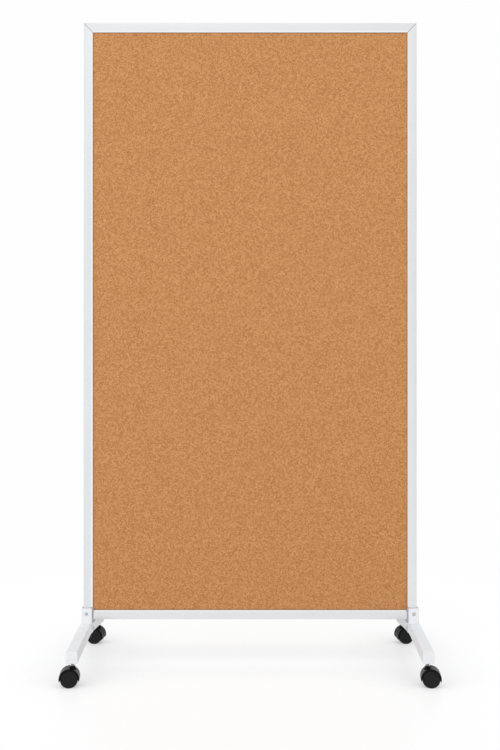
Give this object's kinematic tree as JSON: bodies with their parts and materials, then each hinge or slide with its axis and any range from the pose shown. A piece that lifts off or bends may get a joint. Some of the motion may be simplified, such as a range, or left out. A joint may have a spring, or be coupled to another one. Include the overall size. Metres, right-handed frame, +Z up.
{
  "type": "rolling partition",
  "caption": "Free-standing cork-faced board in an aluminium frame, carried on splayed steel feet with hooded swivel casters.",
  "frame": {"origin": "on the floor under the middle of the panel", "axes": "+Z up, X along the panel's width, the front that the picture shows looks towards -Y"},
  "size_m": [1.0142, 0.4559, 1.8275],
  "materials": {
    "frame": "satin anodised",
    "corner_key": "as cast",
    "board_core": "raw fibreboard",
    "cork": "matt fine-grained cork",
    "foot_steel": "satin powder coat",
    "end_cap": "satin",
    "liner": "soft matt",
    "fixing": "zinc plated",
    "bush": "zinc plated",
    "stem": "zinc plated",
    "caster_hood": "fine texture",
    "axle": "ground",
    "caster_wheel": "smooth"
  },
  "bodies": {
    "stand": {"top_rail": "frame", "bottom_rail": "frame", "left_stile": "frame", "right_stile": "frame", "top_left_key": "corner_key", "top_right_key": "corner_key", "bottom_left_key": "corner_key", "bottom_right_key": "corner_key", "board_core": "board_core", "front_cork": "cork", "rear_cork": "cork", "left_bracket": "foot_steel", "left_liner": "liner", "left_knuckle": "foot_steel", "left_foot_bolt": "fixing", "left_panel_screws": "fixing", "right_bracket": "foot_steel", "right_liner": "liner", "right_knuckle": "foot_steel", "right_foot_bolt": "fixing", "right_panel_screws": "fixing", "front_left_leg": "foot_steel", "front_left_cap": "end_cap", "front_left_bush": "bush", "front_left_stem": "stem", "front_right_leg": "foot_steel", "front_right_cap": "end_cap", "front_right_bush": "bush", "front_right_stem": "stem", "rear_left_leg": "foot_steel", "rear_left_cap": "end_cap", "rear_left_bush": "bush", "rear_left_stem": "stem", "rear_right_leg": "foot_steel", "rear_right_cap": "end_cap", "rear_right_bush": "bush", "rear_right_stem": "stem"},
    "front_left_swivel": {"front_left_hood": "caster_hood", "front_left_axle": "axle"},
    "front_left_fore_wheel": {"front_left_wheel_fore": "caster_wheel"},
    "front_left_aft_wheel": {"front_left_wheel_aft": "caster_wheel"},
    "front_right_swivel": {"front_right_hood": "caster_hood", "front_right_axle": "axle"},
    "front_right_fore_wheel": {"front_right_wheel_fore": "caster_wheel"},
    "front_right_aft_wheel": {"front_right_wheel_aft": "caster_wheel"},
    "rear_left_swivel": {"rear_left_hood": "caster_hood", "rear_left_axle": "axle"},
    "rear_left_fore_wheel": {"rear_left_wheel_fore": "caster_wheel"},
    "rear_left_aft_wheel": {"rear_left_wheel_aft": "caster_wheel"},
    "rear_right_swivel": {"rear_right_hood": "caster_hood", "rear_right_axle": "axle"},
    "rear_right_fore_wheel": {"rear_right_wheel_fore": "caster_wheel"},
    "rear_right_aft_wheel": {"rear_right_wheel_aft": "caster_wheel"}
  },
  "joints": [
    {"name": "front_left_swivel_turn", "type": "hinge", "parent": "stand", "child": "front_left_swivel", "pos_m": [-0.469, -0.202, 0.0545], "axis": [0, 0, 1], "continuous": true},
    {"name": "front_left_fore_wheel_spin", "type": "hinge", "parent": "front_left_swivel", "child": "front_left_fore_wheel", "pos_m": [-0.47694, -0.20297, 0.0235], "axis": [-0.1219, 0.9925, 0], "continuous": true},
    {"name": "front_left_aft_wheel_spin", "type": "hinge", "parent": "front_left_swivel", "child": "front_left_aft_wheel", "pos_m": [-0.47694, -0.20297, 0.0235], "axis": [-0.1219, 0.9925, 0], "continuous": true},
    {"name": "front_right_swivel_turn", "type": "hinge", "parent": "stand", "child": "front_right_swivel", "pos_m": [0.469, -0.202, 0.0545], "axis": [0, 0, 1], "continuous": true},
    {"name": "front_right_fore_wheel_spin", "type": "hinge", "parent": "front_right_swivel", "child": "front_right_fore_wheel", "pos_m": [0.47694, -0.20297, 0.0235], "axis": [0.1219, 0.9925, 0], "continuous": true},
    {"name": "front_right_aft_wheel_spin", "type": "hinge", "parent": "front_right_swivel", "child": "front_right_aft_wheel", "pos_m": [0.47694, -0.20297, 0.0235], "axis": [0.1219, 0.9925, 0], "continuous": true},
    {"name": "rear_left_swivel_turn", "type": "hinge", "parent": "stand", "child": "rear_left_swivel", "pos_m": [-0.469, 0.202, 0.0545], "axis": [0, 0, 1], "continuous": true},
    {"name": "rear_left_fore_wheel_spin", "type": "hinge", "parent": "rear_left_swivel", "child": "rear_left_fore_wheel", "pos_m": [-0.47688, 0.20339, 0.0235], "axis": [0.1736, 0.9848, 0], "continuous": true},
    {"name": "rear_left_aft_wheel_spin", "type": "hinge", "parent": "rear_left_swivel", "child": "rear_left_aft_wheel", "pos_m": [-0.47688, 0.20339, 0.0235], "axis": [0.1736, 0.9848, 0], "continuous": true},
    {"name": "rear_right_swivel_turn", "type": "hinge", "parent": "stand", "child": "rear_right_swivel", "pos_m": [0.469, 0.202, 0.0545], "axis": [0, 0, 1], "continuous": true},
    {"name": "rear_right_fore_wheel_spin", "type": "hinge", "parent": "rear_right_swivel", "child": "rear_right_fore_wheel", "pos_m": [0.47688, 0.20339, 0.0235], "axis": [-0.1736, 0.9848, 0], "continuous": true},
    {"name": "rear_right_aft_wheel_spin", "type": "hinge", "parent": "rear_right_swivel", "child": "rear_right_aft_wheel", "pos_m": [0.47688, 0.20339, 0.0235], "axis": [-0.1736, 0.9848, 0], "continuous": true}
  ]
}
